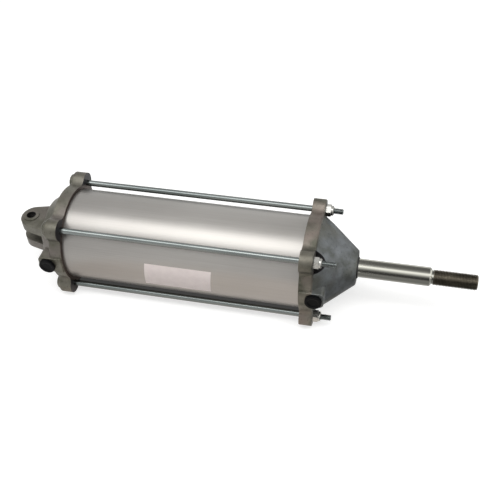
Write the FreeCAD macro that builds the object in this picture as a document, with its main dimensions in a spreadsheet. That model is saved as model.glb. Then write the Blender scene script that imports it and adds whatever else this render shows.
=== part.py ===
import FreeCAD, Part
import math
import os
import Sketcher

# Tie-rod air cylinder, retracted. The origin is the centre of the clevis pin hole,
# +X runs along the cylinder to the threaded rod end and +Z along the clevis pin.
# Each turned piece is drawn in its own frame with its axis on local Z.

doc = FreeCAD.newDocument("air_cylinder")
sheet = doc.addObject("Spreadsheet::Sheet", "dims")

# Driving dimensions, in millimetres.
driving = [
    ("bore_diameter", "88.9"),
    ("tube_wall", "3.175"),
    ("stroke", "203.2"),
    ("piston_width", "25.4"),
    ("spigot_length", "6.0"),
    ("bumper_thickness", "2.8"),
    ("stop_gap", "0.3"),
    ("pin_to_face", "53.975"),
    ("slip_clearance", "0.1"),
    ("running_clearance", "0.05"),
    ("seat_depth", "4.0"),
    ("gasket_thickness", "1.0"),
    ("flange_overhang", "3.675"),
    ("flange_thickness", "13.5"),
    ("flange_edge_radius", "1.5"),
    ("tie_rod_gap", "3.365"),
    ("tie_rod_diameter", "6.35"),
    ("tie_rod_hole_clearance", "0.4"),
    ("tie_rod_engagement", "14.5"),
    ("blind_hole_allowance", "0.5"),
    ("lug_radius", "11.0"),
    ("lug_blend_radius", "8.0"),
    ("dome_wall", "5.125"),
    ("dome_length", "4.8"),
    ("dome_edge_radius", "3.6"),
    ("cup_length", "28.5"),
    ("cup_base_wall", "8.5"),
    ("cup_shoulder", "14.5"),
    ("cup_floor", "6.0"),
    ("cup_side_wall", "6.0"),
    ("cup_edge_radius", "3.5"),
    ("cavity_step", "8.45"),
    ("cavity_corner_radius", "5.0"),
    ("clevis_width", "35.0"),
    ("clevis_slot_width", "12.0"),
    ("clevis_slot_depth", "17.0"),
    ("clevis_tip_radius", "15.5"),
    ("clevis_tip_distance", "11.0"),
    ("clevis_root_width", "40.0"),
    ("clevis_root_distance", "20.0"),
    ("clevis_edge_radius", "1.2"),
    ("clevis_root_radius", "1.5"),
    ("pin_boss_wall", "3.65"),
    ("pin_boss_height", "0.8"),
    ("pin_hole_diameter", "9.9"),
    ("port_stand", "1.3"),
    ("rear_port_offset", "16.5"),
    ("front_port_offset", "15.5"),
    ("port_boss_width", "19.6"),
    ("port_boss_height", "19.0"),
    ("port_edge_radius", "0.8"),
    ("port_boss_corner_radius", "4.5"),
    ("port_boss_start", "0.8"),
    ("port_thread_diameter", "13.7"),
    ("port_floor", "4.6"),
    ("port_drill_step", "1.3"),
    ("port_break_through", "7.2"),
    ("front_cap_length", "51.7"),
    ("cone_step", "2.0"),
    ("nose_wall", "3.3"),
    ("nose_edge_radius", "1.0"),
    ("front_cavity_straight", "12.0"),
    ("front_cavity_end", "22.7"),
    ("front_cavity_width", "11.5"),
    ("gland_wall", "3.7"),
    ("gland_lip_thickness", "2.3"),
    ("gland_lip_clearance", "0.7"),
    ("spotface_radius", "12.9"),
    ("spotface_depth", "0.3"),
    ("rod_diameter", "19.05"),
    ("rod_exposed", "73.5"),
    ("rod_shoulder_chamfer", "1.6"),
    ("rod_thread_diameter", "15.875"),
    ("rod_thread_length", "44.8"),
    ("rod_thread_chamfer", "1.3"),
    ("rod_relief_width", "1.9"),
    ("rod_relief_depth", "0.9875"),
    ("tenon_diameter", "12.7"),
    ("tenon_projection", "1.6"),
    ("tenon_chamfer", "0.8"),
    ("bushing_wall", "3.175"),
    ("bushing_length", "25.4"),
    ("rod_seal_wall", "4.775"),
    ("rod_seal_width", "6.35"),
    ("rod_seal_lip_depth", "3.4"),
    ("rod_seal_lip_thickness", "1.5"),
    ("seal_washer_thickness", "1.0"),
    ("seal_washer_clearance", "0.5"),
    ("wiper_width", "4.65"),
    ("wiper_shell_thickness", "1.2"),
    ("wiper_lip_projection", "1.4"),
    ("piston_clearance", "0.6"),
    ("piston_seal_width", "6.3"),
    ("piston_seal_depth", "7.6"),
    ("piston_seal_lip_depth", "3.2"),
    ("piston_seal_lip_thickness", "2.2"),
    ("wear_ring_width", "5.4"),
    ("wear_ring_depth", "2.6"),
    ("groove_side_clearance", "0.15"),
    ("o_ring_width", "2.4"),
    ("o_ring_depth", "1.9"),
    ("piston_washer_wall", "10.65"),
    ("piston_washer_thickness", "2.5"),
    ("piston_nut_wall", "3.175"),
    ("piston_nut_height", "11.1"),
    ("nut_wall", "2.375"),
    ("nut_hex_height", "5.5"),
    ("nut_collar_height", "2.4"),
    ("nut_collar_step", "0.45"),
    ("nut_collar_wall", "0.7"),
    ("nut_collar_lip", "0.4"),
    ("nut_chamfer_height", "0.5"),
    ("bumper_lip", "0.5"),
    ("bumper_edge", "0.95"),
    ("plug_rim", "1.65"),
    ("plug_flange_thickness", "3.2"),
    ("plug_edge_radius", "0.8"),
    ("plug_end_gap", "3.0"),
    ("plug_wall", "1.8"),
    ("stud_upper_near", "13.8"),
    ("stud_upper_far", "9.8"),
    ("stud_lower_near", "10.5"),
    ("stud_lower_far", "10.3"),
]


# A number together with the sheet expression that gives it.
class Size:
    def __init__(self, value, rule):
        self.value = value
        self.rule = rule

    def __add__(self, other):
        return combine(self, other, "+")

    def __sub__(self, other):
        return combine(self, other, "-")

    def __mul__(self, other):
        return combine(self, other, "*")

    def __truediv__(self, other):
        return combine(self, other, "/")

    def __neg__(self):
        return combine(self, -1, "*")


def combine(left, right, sign):
    value = right.value if isinstance(right, Size) else right
    rule = right.rule if isinstance(right, Size) else str(right)
    results = {
        "+": lambda: left.value + value,
        "-": lambda: left.value - value,
        "*": lambda: left.value * value,
        "/": lambda: left.value / value,
    }
    return Size(results[sign](), f"({left.rule} {sign} {rule})")


size = {}
for row, (name, text) in enumerate(driving, start=1):
    sheet.set(f"A{row}", name)
    sheet.set(f"B{row}", text)
    sheet.setAlias(f"B{row}", name)
    size[name] = Size(float(text), f"dims.{name}")
doc.recompute()

# Places along the cylinder that several pieces share.
boreRadius = size["bore_diameter"] / 2
tubeRadius = boreRadius + size["tube_wall"]
spigotRadius = boreRadius - size["slip_clearance"]
seatRadius = tubeRadius + size["slip_clearance"]
rodRadius = size["rod_diameter"] / 2
tenonRadius = size["tenon_diameter"] / 2
stopLength = size["spigot_length"] + size["bumper_thickness"] + size["stop_gap"]
bodyLength = size["stroke"] + size["piston_width"] + stopLength * 2
rearFace = size["pin_to_face"]
frontFace = rearFace + bodyLength
noseFace = frontFace + size["front_cap_length"]
pistonRear = rearFace + stopLength
pistonFront = pistonRear + size["piston_width"]
rodShoulder = noseFace + size["rod_exposed"]
tieRadius = size["tie_rod_diameter"] / 2
rodOffset = (tubeRadius + size["tie_rod_gap"] + tieRadius) / math.sqrt(2)
nutSeat = frontFace + size["flange_thickness"] - size["spotface_depth"]
flangeRadius = tubeRadius + size["flange_overhang"]
cavityRadius = boreRadius - size["cavity_step"]
portFace = flangeRadius + size["port_stand"]
portRadius = size["port_thread_diameter"] / 2
portThreadDepth = portFace - cavityRadius - size["port_floor"]
sealRadius = rodRadius + size["rod_seal_wall"]
threadRadius = size["rod_thread_diameter"] / 2

# Local Z of a turned piece lies along the cylinder, its local X along world Y.
alongCylinder = FreeCAD.Rotation(FreeCAD.Vector(1, 1, 1), 120)
# Local Z of a port plug points out of its port.
outOfPort = FreeCAD.Rotation(FreeCAD.Vector(1, 0, 0), 90)

subparts = []


def newBody(label, x, y=None, z=None, rotation=alongCylinder):
    body = doc.addObject("PartDesign::Body", label)
    body.Label = label
    body.Placement = FreeCAD.Placement(FreeCAD.Vector(x.value, 0, 0), rotation)
    body.setExpression(".Placement.Base.x", x.rule)
    if y is not None:
        body.setExpression(".Placement.Base.y", y.rule)
    if z is not None:
        body.setExpression(".Placement.Base.z", z.rule)
    subparts.append(body)
    return body


def newSketch(body, role, name, lift=None):
    sketch = body.newObject("Sketcher::SketchObject", name)
    plane = [item for item in body.Origin.OriginFeatures if item.Role == role][0]
    sketch.AttachmentSupport = [(plane, "")]
    sketch.MapMode = "FlatFace"
    if lift is not None:
        sketch.AttachmentOffset = FreeCAD.Placement(FreeCAD.Vector(0, 0, lift.value), FreeCAD.Rotation())
        sketch.setExpression(".AttachmentOffset.Base.z", lift.rule)
    return sketch


def bind(sketch, kind, elements, amount):
    index = sketch.addConstraint(Sketcher.Constraint(kind, *elements, amount.value))
    sketch.setExpression(f"Constraints[{index}]", amount.rule)


# Holds one point of a sketch at (u, v) from the origin. A plain 0 puts it on that axis.
def fixPoint(sketch, element, end, u, v):
    for kind, axis, amount in (("DistanceX", -2, u), ("DistanceY", -1, v)):
        if not isinstance(amount, Size):
            sketch.addConstraint(Sketcher.Constraint("PointOnObject", element, end, axis))
        elif amount.value >= 0:
            bind(sketch, kind, (-1, 1, element, end), amount)
        else:
            bind(sketch, kind, (element, end, -1, 1), -amount)


def flat(u, v):
    numbers = [item.value if isinstance(item, Size) else item for item in (u, v)]
    return FreeCAD.Vector(numbers[0], numbers[1], 0)


# A closed outline through corners (u, v) or, where the corner is rounded, (u, v, radius).
def drawOutline(sketch, corners):
    points = [flat(corner[0], corner[1]) for corner in corners]
    count = len(corners)
    arrivals = []
    departures = []
    arcs = {}
    for index, corner in enumerate(corners):
        here = points[index]
        towardsLast = (points[index - 1] - here).normalize()
        towardsNext = (points[(index + 1) % count] - here).normalize()
        if len(corner) == 2:
            arrivals.append(here)
            departures.append(here)
            continue
        half = towardsLast.getAngle(towardsNext) / 2
        reach = corner[2].value / math.tan(half)
        first = here + towardsLast * reach
        last = here + towardsNext * reach
        middle = (towardsLast + towardsNext).normalize()
        top = here + middle * (corner[2].value / math.sin(half) - corner[2].value)
        arrivals.append(first)
        departures.append(last)
        arcs[index] = Part.Arc(first, top, last)
    lines = []
    for index in range(count):
        start = departures[index]
        finish = arrivals[(index + 1) % count]
        lines.append(sketch.addGeometry(Part.LineSegment(start, finish), False))
    for index, corner in enumerate(corners):
        before = lines[index - 1]
        after = lines[index]
        if index not in arcs:
            sketch.addConstraint(Sketcher.Constraint("Coincident", before, 2, after, 1))
            fixPoint(sketch, after, 1, corner[0], corner[1])
            continue
        arc = sketch.addGeometry(arcs[index], False)
        corresponding = sketch.addGeometry(Part.Point(points[index]), True)
        firstEnd, lastEnd = arcEnds(sketch, arc, arrivals[index])
        sketch.addConstraint(Sketcher.Constraint("Tangent", before, 2, arc, firstEnd))
        sketch.addConstraint(Sketcher.Constraint("Tangent", after, 1, arc, lastEnd))
        sketch.addConstraint(Sketcher.Constraint("PointOnObject", corresponding, 1, before))
        sketch.addConstraint(Sketcher.Constraint("PointOnObject", corresponding, 1, after))
        fixPoint(sketch, corresponding, 1, corner[0], corner[1])
        bind(sketch, "Radius", (arc,), corner[2])


# Which end of a sketch arc lies at a point: its start (1) or its end (2), and the other one.
def arcEnds(sketch, arc, point):
    start = sketch.getPoint(arc, 1)
    return (1, 2) if start.distanceToPoint(point) < 1e-6 else (2, 1)


def drawCircles(sketch, places, radius):
    for u, v in places:
        circle = sketch.addGeometry(Part.Circle(flat(u, v), FreeCAD.Vector(0, 0, 1), radius.value), False)
        fixPoint(sketch, circle, 3, u, v)
        bind(sketch, "Radius", (circle,), radius)


tieRodPlaces = [(rodOffset, rodOffset), (-rodOffset, rodOffset), (-rodOffset, -rodOffset), (rodOffset, -rodOffset)]


# The round flange with a lug at each tie rod, blended into the rim.
def drawFlange(sketch):
    rim = flangeRadius
    lug = size["lug_radius"]
    blend = size["lug_blend_radius"]
    reach = rodOffset.value * math.sqrt(2)
    rimSide = rim.value + blend.value
    lugSide = lug.value + blend.value
    swing = math.acos((reach**2 + rimSide**2 - lugSide**2) / (2 * reach * rimSide))
    pieces = []
    for quarter, place in enumerate(tieRodPlaces):
        facing = math.pi / 4 + quarter * math.pi / 2
        lugCentre = flat(*place)
        before = facing - swing
        after = facing + swing
        beforeCentre = FreeCAD.Vector(math.cos(before), math.sin(before), 0) * rimSide
        afterCentre = FreeCAD.Vector(math.cos(after), math.sin(after), 0) * rimSide
        rimStart = FreeCAD.Vector(math.cos(before), math.sin(before), 0) * rim.value
        rimEnd = FreeCAD.Vector(math.cos(after), math.sin(after), 0) * rim.value
        nextRim = facing + math.pi / 2 - swing
        rimMiddle = (after + nextRim) / 2
        lugStart = lugCentre + (beforeCentre - lugCentre).normalize() * lug.value
        lugEnd = lugCentre + (afterCentre - lugCentre).normalize() * lug.value
        lugTop = lugCentre + FreeCAD.Vector(math.cos(facing), math.sin(facing), 0) * lug.value
        firstBlend = beforeCentre + ((rimStart + lugStart) * 0.5 - beforeCentre).normalize() * blend.value
        secondBlend = afterCentre + ((rimEnd + lugEnd) * 0.5 - afterCentre).normalize() * blend.value
        rimTop = FreeCAD.Vector(math.cos(rimMiddle), math.sin(rimMiddle), 0) * rim.value
        nextStart = FreeCAD.Vector(math.cos(nextRim), math.sin(nextRim), 0) * rim.value
        pieces.append(("blend", rimStart, firstBlend, lugStart, None))
        pieces.append(("lug", lugStart, lugTop, lugEnd, place))
        pieces.append(("blend", lugEnd, secondBlend, rimEnd, None))
        pieces.append(("rim", rimEnd, rimTop, nextStart, None))
    radii = {"blend": blend, "lug": lug, "rim": rim}
    arcs = []
    for kind, start, middle, finish, place in pieces:
        arc = sketch.addGeometry(Part.Arc(start, middle, finish), False)
        arcs.append((arc, arcEnds(sketch, arc, start)))
        bind(sketch, "Radius", (arc,), radii[kind])
        if kind == "rim":
            sketch.addConstraint(Sketcher.Constraint("Coincident", arc, 3, -1, 1))
        if kind == "lug":
            fixPoint(sketch, arc, 3, *place)
    for index, (arc, ends) in enumerate(arcs):
        following, followingEnds = arcs[(index + 1) % len(arcs)]
        sketch.addConstraint(Sketcher.Constraint("Tangent", arc, ends[1], following, followingEnds[0]))


def setLength(feature, length, name="Length"):
    setattr(feature, name, length.value)
    feature.setExpression(name, length.rule)


def pad(body, sketch, length, name, reverse=False, midplane=False):
    feature = body.newObject("PartDesign::Pad", name)
    feature.Profile = sketch
    feature.Reversed = reverse
    feature.Midplane = midplane
    setLength(feature, length)
    doc.recompute()
    return feature


def pocket(body, sketch, length, name, reverse=False, midplane=False):
    before = body.Shape.Volume
    feature = body.newObject("PartDesign::Pocket", name)
    feature.Profile = sketch
    feature.Reversed = reverse
    feature.Midplane = midplane
    setLength(feature, length)
    doc.recompute()
    if not feature.Shape.Volume < before:
        raise ValueError(f"{body.Label}: {name} cuts nothing")
    return feature


def revolve(body, sketch, name):
    feature = body.newObject("PartDesign::Revolution", name)
    feature.Profile = sketch
    feature.ReferenceAxis = (sketch, ["V_Axis"])
    feature.Angle = 360
    doc.recompute()
    return feature


def groove(body, sketch, name):
    before = body.Shape.Volume
    feature = body.newObject("PartDesign::Groove", name)
    feature.Profile = sketch
    feature.ReferenceAxis = (sketch, ["V_Axis"])
    feature.Angle = 360
    doc.recompute()
    if not feature.Shape.Volume < before:
        raise ValueError(f"{body.Label}: {name} cuts nothing")
    return feature


# Rounds the edges of a feature that lie flat at one height along an axis of the body's own frame,
# apart from those that are longer than the limit.
def roundEdgesAt(body, feature, height, radius, name, axis="Z", limit=None):
    edges = []
    for index, edge in enumerate(feature.Shape.Edges, start=1):
        lowest = getattr(edge.BoundBox, f"{axis}Min")
        highest = getattr(edge.BoundBox, f"{axis}Max")
        if limit is not None and edge.BoundBox.DiagonalLength > limit.value:
            continue
        if abs(lowest - height.value) < 1e-4 and abs(highest - height.value) < 1e-4:
            edges.append(f"Edge{index}")
    if not edges:
        raise ValueError(f"{body.Label}: {name} finds no edge")
    fillet = body.newObject("PartDesign::Fillet", name)
    fillet.Base = (feature, edges)
    setLength(fillet, radius, "Radius")
    doc.recompute()
    return fillet


# A piece of revolution from corners (radius, height).
def turned(label, corners, x, y=None, z=None, rotation=alongCylinder):
    body = newBody(label, x, y, z, rotation)
    sketch = newSketch(body, "XZ_Plane", f"{label}_profile")
    drawOutline(sketch, corners)
    revolve(body, sketch, f"{label}_turned")
    return body


def ring(label, inner, outer, bottom, top, x, y=None, z=None):
    return turned(label, [(inner, bottom), (outer, bottom), (outer, top), (inner, top)], x, y, z)


# The pad that the port is tapped in, from the cap's axis out to the port face.
def portBoss(body, offset, direction):
    sketch = newSketch(body, "YZ_Plane", f"{body.Label}_port_boss_outline")
    halfHeight = size["port_boss_height"] / 2
    near = size["port_boss_start"] * direction
    far = (offset + size["port_boss_width"] / 2) * direction
    corner = size["port_boss_corner_radius"]
    drawOutline(sketch, [
        (-halfHeight, near),
        (halfHeight, near),
        (halfHeight, far, corner),
        (-halfHeight, far, corner),
    ])
    boss = pad(body, sketch, portFace, f"{body.Label}_port_boss", reverse=True)
    roundEdgesAt(body, boss, -portFace, size["port_edge_radius"], f"{body.Label}_port_edge", "X")


def portHoles(body, offset, direction):
    place = [(0, offset * direction)]
    depths = (
        ("thread", portRadius, portThreadDepth),
        ("drill", portRadius - size["port_drill_step"], portFace - cavityRadius + size["port_break_through"]),
    )
    for word, radius, depth in depths:
        sketch = newSketch(body, "YZ_Plane", f"{body.Label}_port_{word}_circle", -portFace)
        drawCircles(sketch, place, radius)
        pocket(body, sketch, depth, f"{body.Label}_port_{word}", reverse=True)


# The groove that takes the tube end and its gasket.
def tubeSeat(body, direction):
    sketch = newSketch(body, "XZ_Plane", f"{body.Label}_seat_profile")
    bottom = size["seat_depth"] * direction
    past = -size["spigot_length"] * direction
    drawOutline(sketch, [(spigotRadius, past), (seatRadius, past), (seatRadius, bottom), (spigotRadius, bottom)])
    groove(body, sketch, f"{body.Label}_tube_seat")


# Rear cap

rearCap = newBody("rear_cap", rearFace)

# The clevis ears taper from the cup to a round tip, each with a low boss round the pin hole.
clevis = newSketch(rearCap, "XZ_Plane", "clevis_outline")
tipRadius = size["clevis_tip_radius"]
tipCentre = -(rearFace + size["clevis_tip_distance"] - tipRadius)
rootHalf = size["clevis_root_width"] / 2
rootHeight = -(rearFace - size["clevis_root_distance"])
insideHeight = -(size["cup_length"] - size["cup_edge_radius"])
centre = FreeCAD.Vector(0, tipCentre.value, 0)
cornerPoint = FreeCAD.Vector(rootHalf.value, rootHeight.value, 0)
distance = (cornerPoint - centre).Length
lean = math.asin(tipRadius.value / distance)
bearing = math.atan2(cornerPoint.y - centre.y, cornerPoint.x) + lean
tangent = centre + FreeCAD.Vector(math.sin(bearing), -math.cos(bearing), 0) * tipRadius.value
mirrored = FreeCAD.Vector(-tangent.x, tangent.y, 0)
tip = FreeCAD.Vector(0, tipCentre.value - tipRadius.value, 0)
slope = (cornerPoint - tangent) * ((insideHeight.value - tangent.y) / (cornerPoint.y - tangent.y))
rightRoot = tangent + slope
leftRoot = FreeCAD.Vector(-rightRoot.x, rightRoot.y, 0)
tipArc = clevis.addGeometry(Part.Arc(tangent, tip, mirrored), False)
leftEdge = clevis.addGeometry(Part.LineSegment(mirrored, leftRoot), False)
rootLine = clevis.addGeometry(Part.LineSegment(leftRoot, rightRoot), False)
rightEdge = clevis.addGeometry(Part.LineSegment(rightRoot, tangent), False)
rightEnd, leftEnd = arcEnds(clevis, tipArc, tangent)
clevis.addConstraint(Sketcher.Constraint("Tangent", leftEdge, 1, tipArc, leftEnd))
clevis.addConstraint(Sketcher.Constraint("Tangent", rightEdge, 2, tipArc, rightEnd))
clevis.addConstraint(Sketcher.Constraint("Coincident", leftEdge, 2, rootLine, 1))
clevis.addConstraint(Sketcher.Constraint("Coincident", rootLine, 2, rightEdge, 1))
clevis.addConstraint(Sketcher.Constraint("Horizontal", rootLine))
fixPoint(clevis, tipArc, 3, 0, tipCentre)
bind(clevis, "Radius", (tipArc,), tipRadius)
bind(clevis, "DistanceY", (rootLine, 1, -1, 1), -insideHeight)
for line, across in ((leftEdge, -rootHalf), (rightEdge, rootHalf)):
    widthPoint = clevis.addGeometry(Part.Point(flat(across, rootHeight)), True)
    fixPoint(clevis, widthPoint, 1, across, rootHeight)
    clevis.addConstraint(Sketcher.Constraint("PointOnObject", widthPoint, 1, line))
earWidth = size["clevis_width"] - size["pin_boss_height"] * 2
earPad = pad(rearCap, clevis, earWidth, "clevis_ears", midplane=True)
earPad = roundEdgesAt(rearCap, earPad, earWidth / 2, size["clevis_edge_radius"], "upper_ear_edge", "Y")
roundEdgesAt(rearCap, earPad, -earWidth / 2, size["clevis_edge_radius"], "lower_ear_edge", "Y")

# The cup behind the flange, with a soft root where the ears leave it
cup = newSketch(rearCap, "XZ_Plane", "rear_cup_profile")
cupEndRadius = rootHalf + size["cup_shoulder"]
drawOutline(cup, [
    (0, -size["cup_length"]),
    (cupEndRadius, -size["cup_length"], size["cup_edge_radius"]),
    (cavityRadius + size["cup_base_wall"], -size["flange_thickness"]),
    (spigotRadius, size["spigot_length"]),
    (0, size["spigot_length"]),
])
cupTurned = revolve(rearCap, cup, "rear_cup")
rootLimit = size["clevis_root_width"] + size["clevis_root_radius"]
roundEdgesAt(rearCap, cupTurned, -size["cup_length"], size["clevis_root_radius"], "clevis_root", "Z", rootLimit)

pinBoss = newSketch(rearCap, "XZ_Plane", "pin_boss_circle")
drawCircles(pinBoss, [(0, -rearFace)], size["pin_hole_diameter"] / 2 + size["pin_boss_wall"])
pad(rearCap, pinBoss, size["clevis_width"], "pin_boss", midplane=True)

slot = newSketch(rearCap, "YZ_Plane", "clevis_slot_outline")
slotHalf = size["clevis_slot_width"] / 2
slotBottom = -(rearFace - size["clevis_slot_depth"])
slotMouth = -(rearFace + size["clevis_tip_distance"] + size["clevis_slot_width"])
drawOutline(slot, [
    (-slotHalf, slotMouth),
    (slotHalf, slotMouth),
    (slotHalf, slotBottom),
    (-slotHalf, slotBottom),
])
pocket(rearCap, slot, size["clevis_root_width"] * 2, "clevis_slot", midplane=True)

pinHole = newSketch(rearCap, "XZ_Plane", "pin_hole_circle")
drawCircles(pinHole, [(0, -rearFace)], size["pin_hole_diameter"] / 2)
pocket(rearCap, pinHole, size["clevis_width"] * 2, "pin_hole", midplane=True)

flange = newSketch(rearCap, "XY_Plane", "rear_flange_outline")
drawFlange(flange)
flangePad = pad(rearCap, flange, size["flange_thickness"], "rear_flange", reverse=True)
roundEdgesAt(rearCap, flangePad, -size["flange_thickness"], size["flange_edge_radius"], "rear_flange_edge")

domes = newSketch(rearCap, "XY_Plane", "rear_dome_circles")
drawCircles(domes, tieRodPlaces, tieRadius + size["dome_wall"])
domeTop = size["flange_thickness"] + size["dome_length"]
domePad = pad(rearCap, domes, domeTop, "rear_domes", reverse=True)
roundEdgesAt(rearCap, domePad, -domeTop, size["dome_edge_radius"], "rear_dome_edge")

portBoss(rearCap, size["rear_port_offset"], -1)

cavity = newSketch(rearCap, "XZ_Plane", "rear_cavity_profile")
cavityFloor = size["cup_floor"] - size["cup_length"]
drawOutline(cavity, [
    (0, size["spigot_length"] * 2),
    (cavityRadius, size["spigot_length"] * 2),
    (cavityRadius, -size["flange_thickness"]),
    (cupEndRadius - size["cup_side_wall"], cavityFloor, size["cavity_corner_radius"]),
    (0, cavityFloor),
])
groove(rearCap, cavity, "rear_cavity")
tubeSeat(rearCap, -1)

tapped = newSketch(rearCap, "XY_Plane", "tie_rod_tapped_circles")
drawCircles(tapped, tieRodPlaces, tieRadius + size["running_clearance"])
tappedDepth = size["tie_rod_engagement"] + size["blind_hole_allowance"]
pocket(rearCap, tapped, tappedDepth, "tie_rod_tapped_holes")
portHoles(rearCap, size["rear_port_offset"], -1)

# Front cap

frontCap = newBody("front_cap", frontFace)
flange = newSketch(frontCap, "XY_Plane", "front_flange_outline")
drawFlange(flange)
flangePad = pad(frontCap, flange, size["flange_thickness"], "front_flange")
roundEdgesAt(frontCap, flangePad, size["flange_thickness"], size["flange_edge_radius"], "front_flange_edge")

cone = newSketch(frontCap, "XZ_Plane", "cone_profile")
drawOutline(cone, [
    (0, -size["spigot_length"]),
    (spigotRadius, -size["spigot_length"]),
    (spigotRadius, size["seat_depth"]),
    (flangeRadius - size["cone_step"], size["flange_thickness"]),
    (sealRadius + size["nose_wall"], size["front_cap_length"], size["nose_edge_radius"]),
    (0, size["front_cap_length"]),
])
revolve(frontCap, cone, "cone")
portBoss(frontCap, size["front_port_offset"], 1)

spotfaceLevel = size["flange_thickness"] - size["spotface_depth"]
spotfaces = newSketch(frontCap, "XY_Plane", "spotface_circles", spotfaceLevel)
drawCircles(spotfaces, tieRodPlaces, size["spotface_radius"])
pocket(frontCap, spotfaces, size["front_cap_length"], "spotfaces", reverse=True)

# The hollow of the cone surrounds the gland boss, which holds the bushing, seal and wiper.
wiperPlace = size["front_cap_length"] - size["wiper_width"]
washerPlace = wiperPlace - size["seal_washer_thickness"]
bushingEnd = washerPlace - size["rod_seal_width"]
bushingSeat = bushingEnd - size["bushing_length"]
glandStart = bushingSeat - size["gland_lip_thickness"]
glandRadius = sealRadius + size["gland_wall"]
bushingRadius = rodRadius + size["bushing_wall"]
lipRadius = rodRadius + size["gland_lip_clearance"]
hollowDepth = size["front_cap_length"] - size["front_cavity_end"]
hollowCorner = size["cavity_corner_radius"] / 2
hollow = newSketch(frontCap, "XZ_Plane", "front_hollow_profile")
drawOutline(hollow, [
    (0, -size["spigot_length"] * 2),
    (cavityRadius, -size["spigot_length"] * 2),
    (cavityRadius, size["front_cavity_straight"]),
    (glandRadius + size["front_cavity_width"], hollowDepth, hollowCorner),
    (glandRadius, hollowDepth, hollowCorner),
    (glandRadius, glandStart),
    (lipRadius, glandStart),
    (lipRadius, bushingSeat),
    (bushingRadius, bushingSeat),
    (bushingRadius, bushingEnd),
    (sealRadius, bushingEnd),
    (sealRadius, size["front_cap_length"] * 2),
    (0, size["front_cap_length"] * 2),
])
groove(frontCap, hollow, "front_hollow")
tubeSeat(frontCap, 1)

rodHoles = newSketch(frontCap, "XY_Plane", "tie_rod_clearance_circles")
drawCircles(rodHoles, tieRodPlaces, tieRadius + size["tie_rod_hole_clearance"])
pocket(frontCap, rodHoles, size["flange_thickness"] * 2, "tie_rod_holes", reverse=True)
portHoles(frontCap, size["front_port_offset"], 1)

# Tube, its gaskets and the piston bumpers

tubeEnd = size["seat_depth"] - size["gasket_thickness"]
ring("barrel_tube", boreRadius, tubeRadius, -tubeEnd, bodyLength + tubeEnd, rearFace)
gasket = size["gasket_thickness"]
ring("rear_tube_gasket", boreRadius, tubeRadius, 0, gasket, rearFace - size["seat_depth"])
ring("front_tube_gasket", boreRadius, tubeRadius, 0, gasket, frontFace + tubeEnd)
bumperInner = cavityRadius + size["bumper_lip"]
bumperOuter = boreRadius - size["bumper_edge"]
bumper = size["bumper_thickness"]
ring("rear_bumper", bumperInner, bumperOuter, 0, bumper, rearFace + size["spigot_length"])
ring("front_bumper", bumperInner, bumperOuter, 0, bumper, frontFace - size["spigot_length"] - bumper)

# Tie rods, lock nuts and their nylon inserts


# Cuts a round blank to a hexagon whose flats lie at halfFlats from the axis.
def hexagonCut(body, halfFlats, low, high):
    sketch = newSketch(body, "XY_Plane", f"{body.Label}_hexagon", low)
    blank = halfFlats * 2
    corner = halfFlats.value / math.cos(math.pi / 6)
    points = []
    for side in range(6):
        bearing = side * math.pi / 3
        points.append(FreeCAD.Vector(corner * math.cos(bearing), corner * math.sin(bearing), 0))
    sides = []
    for side in range(6):
        sides.append(sketch.addGeometry(Part.LineSegment(points[side], points[(side + 1) % 6]), False))
    guide = sketch.addGeometry(Part.Circle(FreeCAD.Vector(), FreeCAD.Vector(0, 0, 1), halfFlats.value), True)
    sketch.addConstraint(Sketcher.Constraint("Coincident", guide, 3, -1, 1))
    bind(sketch, "Radius", (guide,), halfFlats)
    for side in range(6):
        sketch.addConstraint(Sketcher.Constraint("Coincident", sides[side], 2, sides[(side + 1) % 6], 1))
        sketch.addConstraint(Sketcher.Constraint("Tangent", sides[side], guide))
        if side:
            sketch.addConstraint(Sketcher.Constraint("Equal", sides[0], sides[side]))
    sketch.addConstraint(Sketcher.Constraint("PointOnObject", sides[0], 1, -1))
    outer = sketch.addGeometry(Part.Circle(FreeCAD.Vector(), FreeCAD.Vector(0, 0, 1), blank.value), False)
    sketch.addConstraint(Sketcher.Constraint("Coincident", outer, 3, -1, 1))
    bind(sketch, "Radius", (outer,), blank)
    pocket(body, sketch, high - low, f"{body.Label}_flats", reverse=True)


nutHalfFlats = tieRadius + size["nut_wall"]
nutCorner = nutHalfFlats / math.cos(math.pi / 6)
hexHeight = size["nut_hex_height"]
nutHeight = hexHeight + size["nut_collar_height"]
threadBore = tieRadius + size["running_clearance"]
collarRadius = nutHalfFlats - size["nut_collar_step"]
insertRadius = collarRadius - size["nut_collar_wall"]
collarLip = insertRadius - size["nut_collar_lip"]
insertTop = nutHeight - size["nut_collar_lip"]
rodRear = rearFace - size["tie_rod_engagement"]
chamfer = size["tenon_chamfer"]
quadrants = {"upper_near": (-1, 1), "upper_far": (1, 1), "lower_near": (-1, -1), "lower_far": (1, -1)}

for quadrant, signs in quadrants.items():
    y = rodOffset * signs[0]
    z = rodOffset * signs[1]
    rodEnd = nutSeat + nutHeight + size[f"stud_{quadrant}"]
    turned(f"tie_rod_{quadrant}", [
        (0, 0),
        (tieRadius, 0),
        (tieRadius, rodEnd - rodRear - chamfer),
        (tieRadius - chamfer, rodEnd - rodRear),
        (0, rodEnd - rodRear),
    ], rodRear, y, z)
    nut = turned(f"lock_nut_{quadrant}", [
        (threadBore, 0),
        (nutCorner, 0),
        (nutCorner, hexHeight - size["nut_chamfer_height"]),
        (nutHalfFlats, hexHeight),
        (collarRadius, hexHeight),
        (collarRadius, nutHeight),
        (collarLip, nutHeight),
        (collarLip, insertTop),
        (insertRadius, insertTop),
        (insertRadius, hexHeight),
        (threadBore, hexHeight),
    ], nutSeat, y, z)
    hexagonCut(nut, nutHalfFlats, -size["nut_collar_lip"], hexHeight)
    ring(f"nut_insert_{quadrant}", threadBore, insertRadius, hexHeight, insertTop, nutSeat, y, z)

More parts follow.
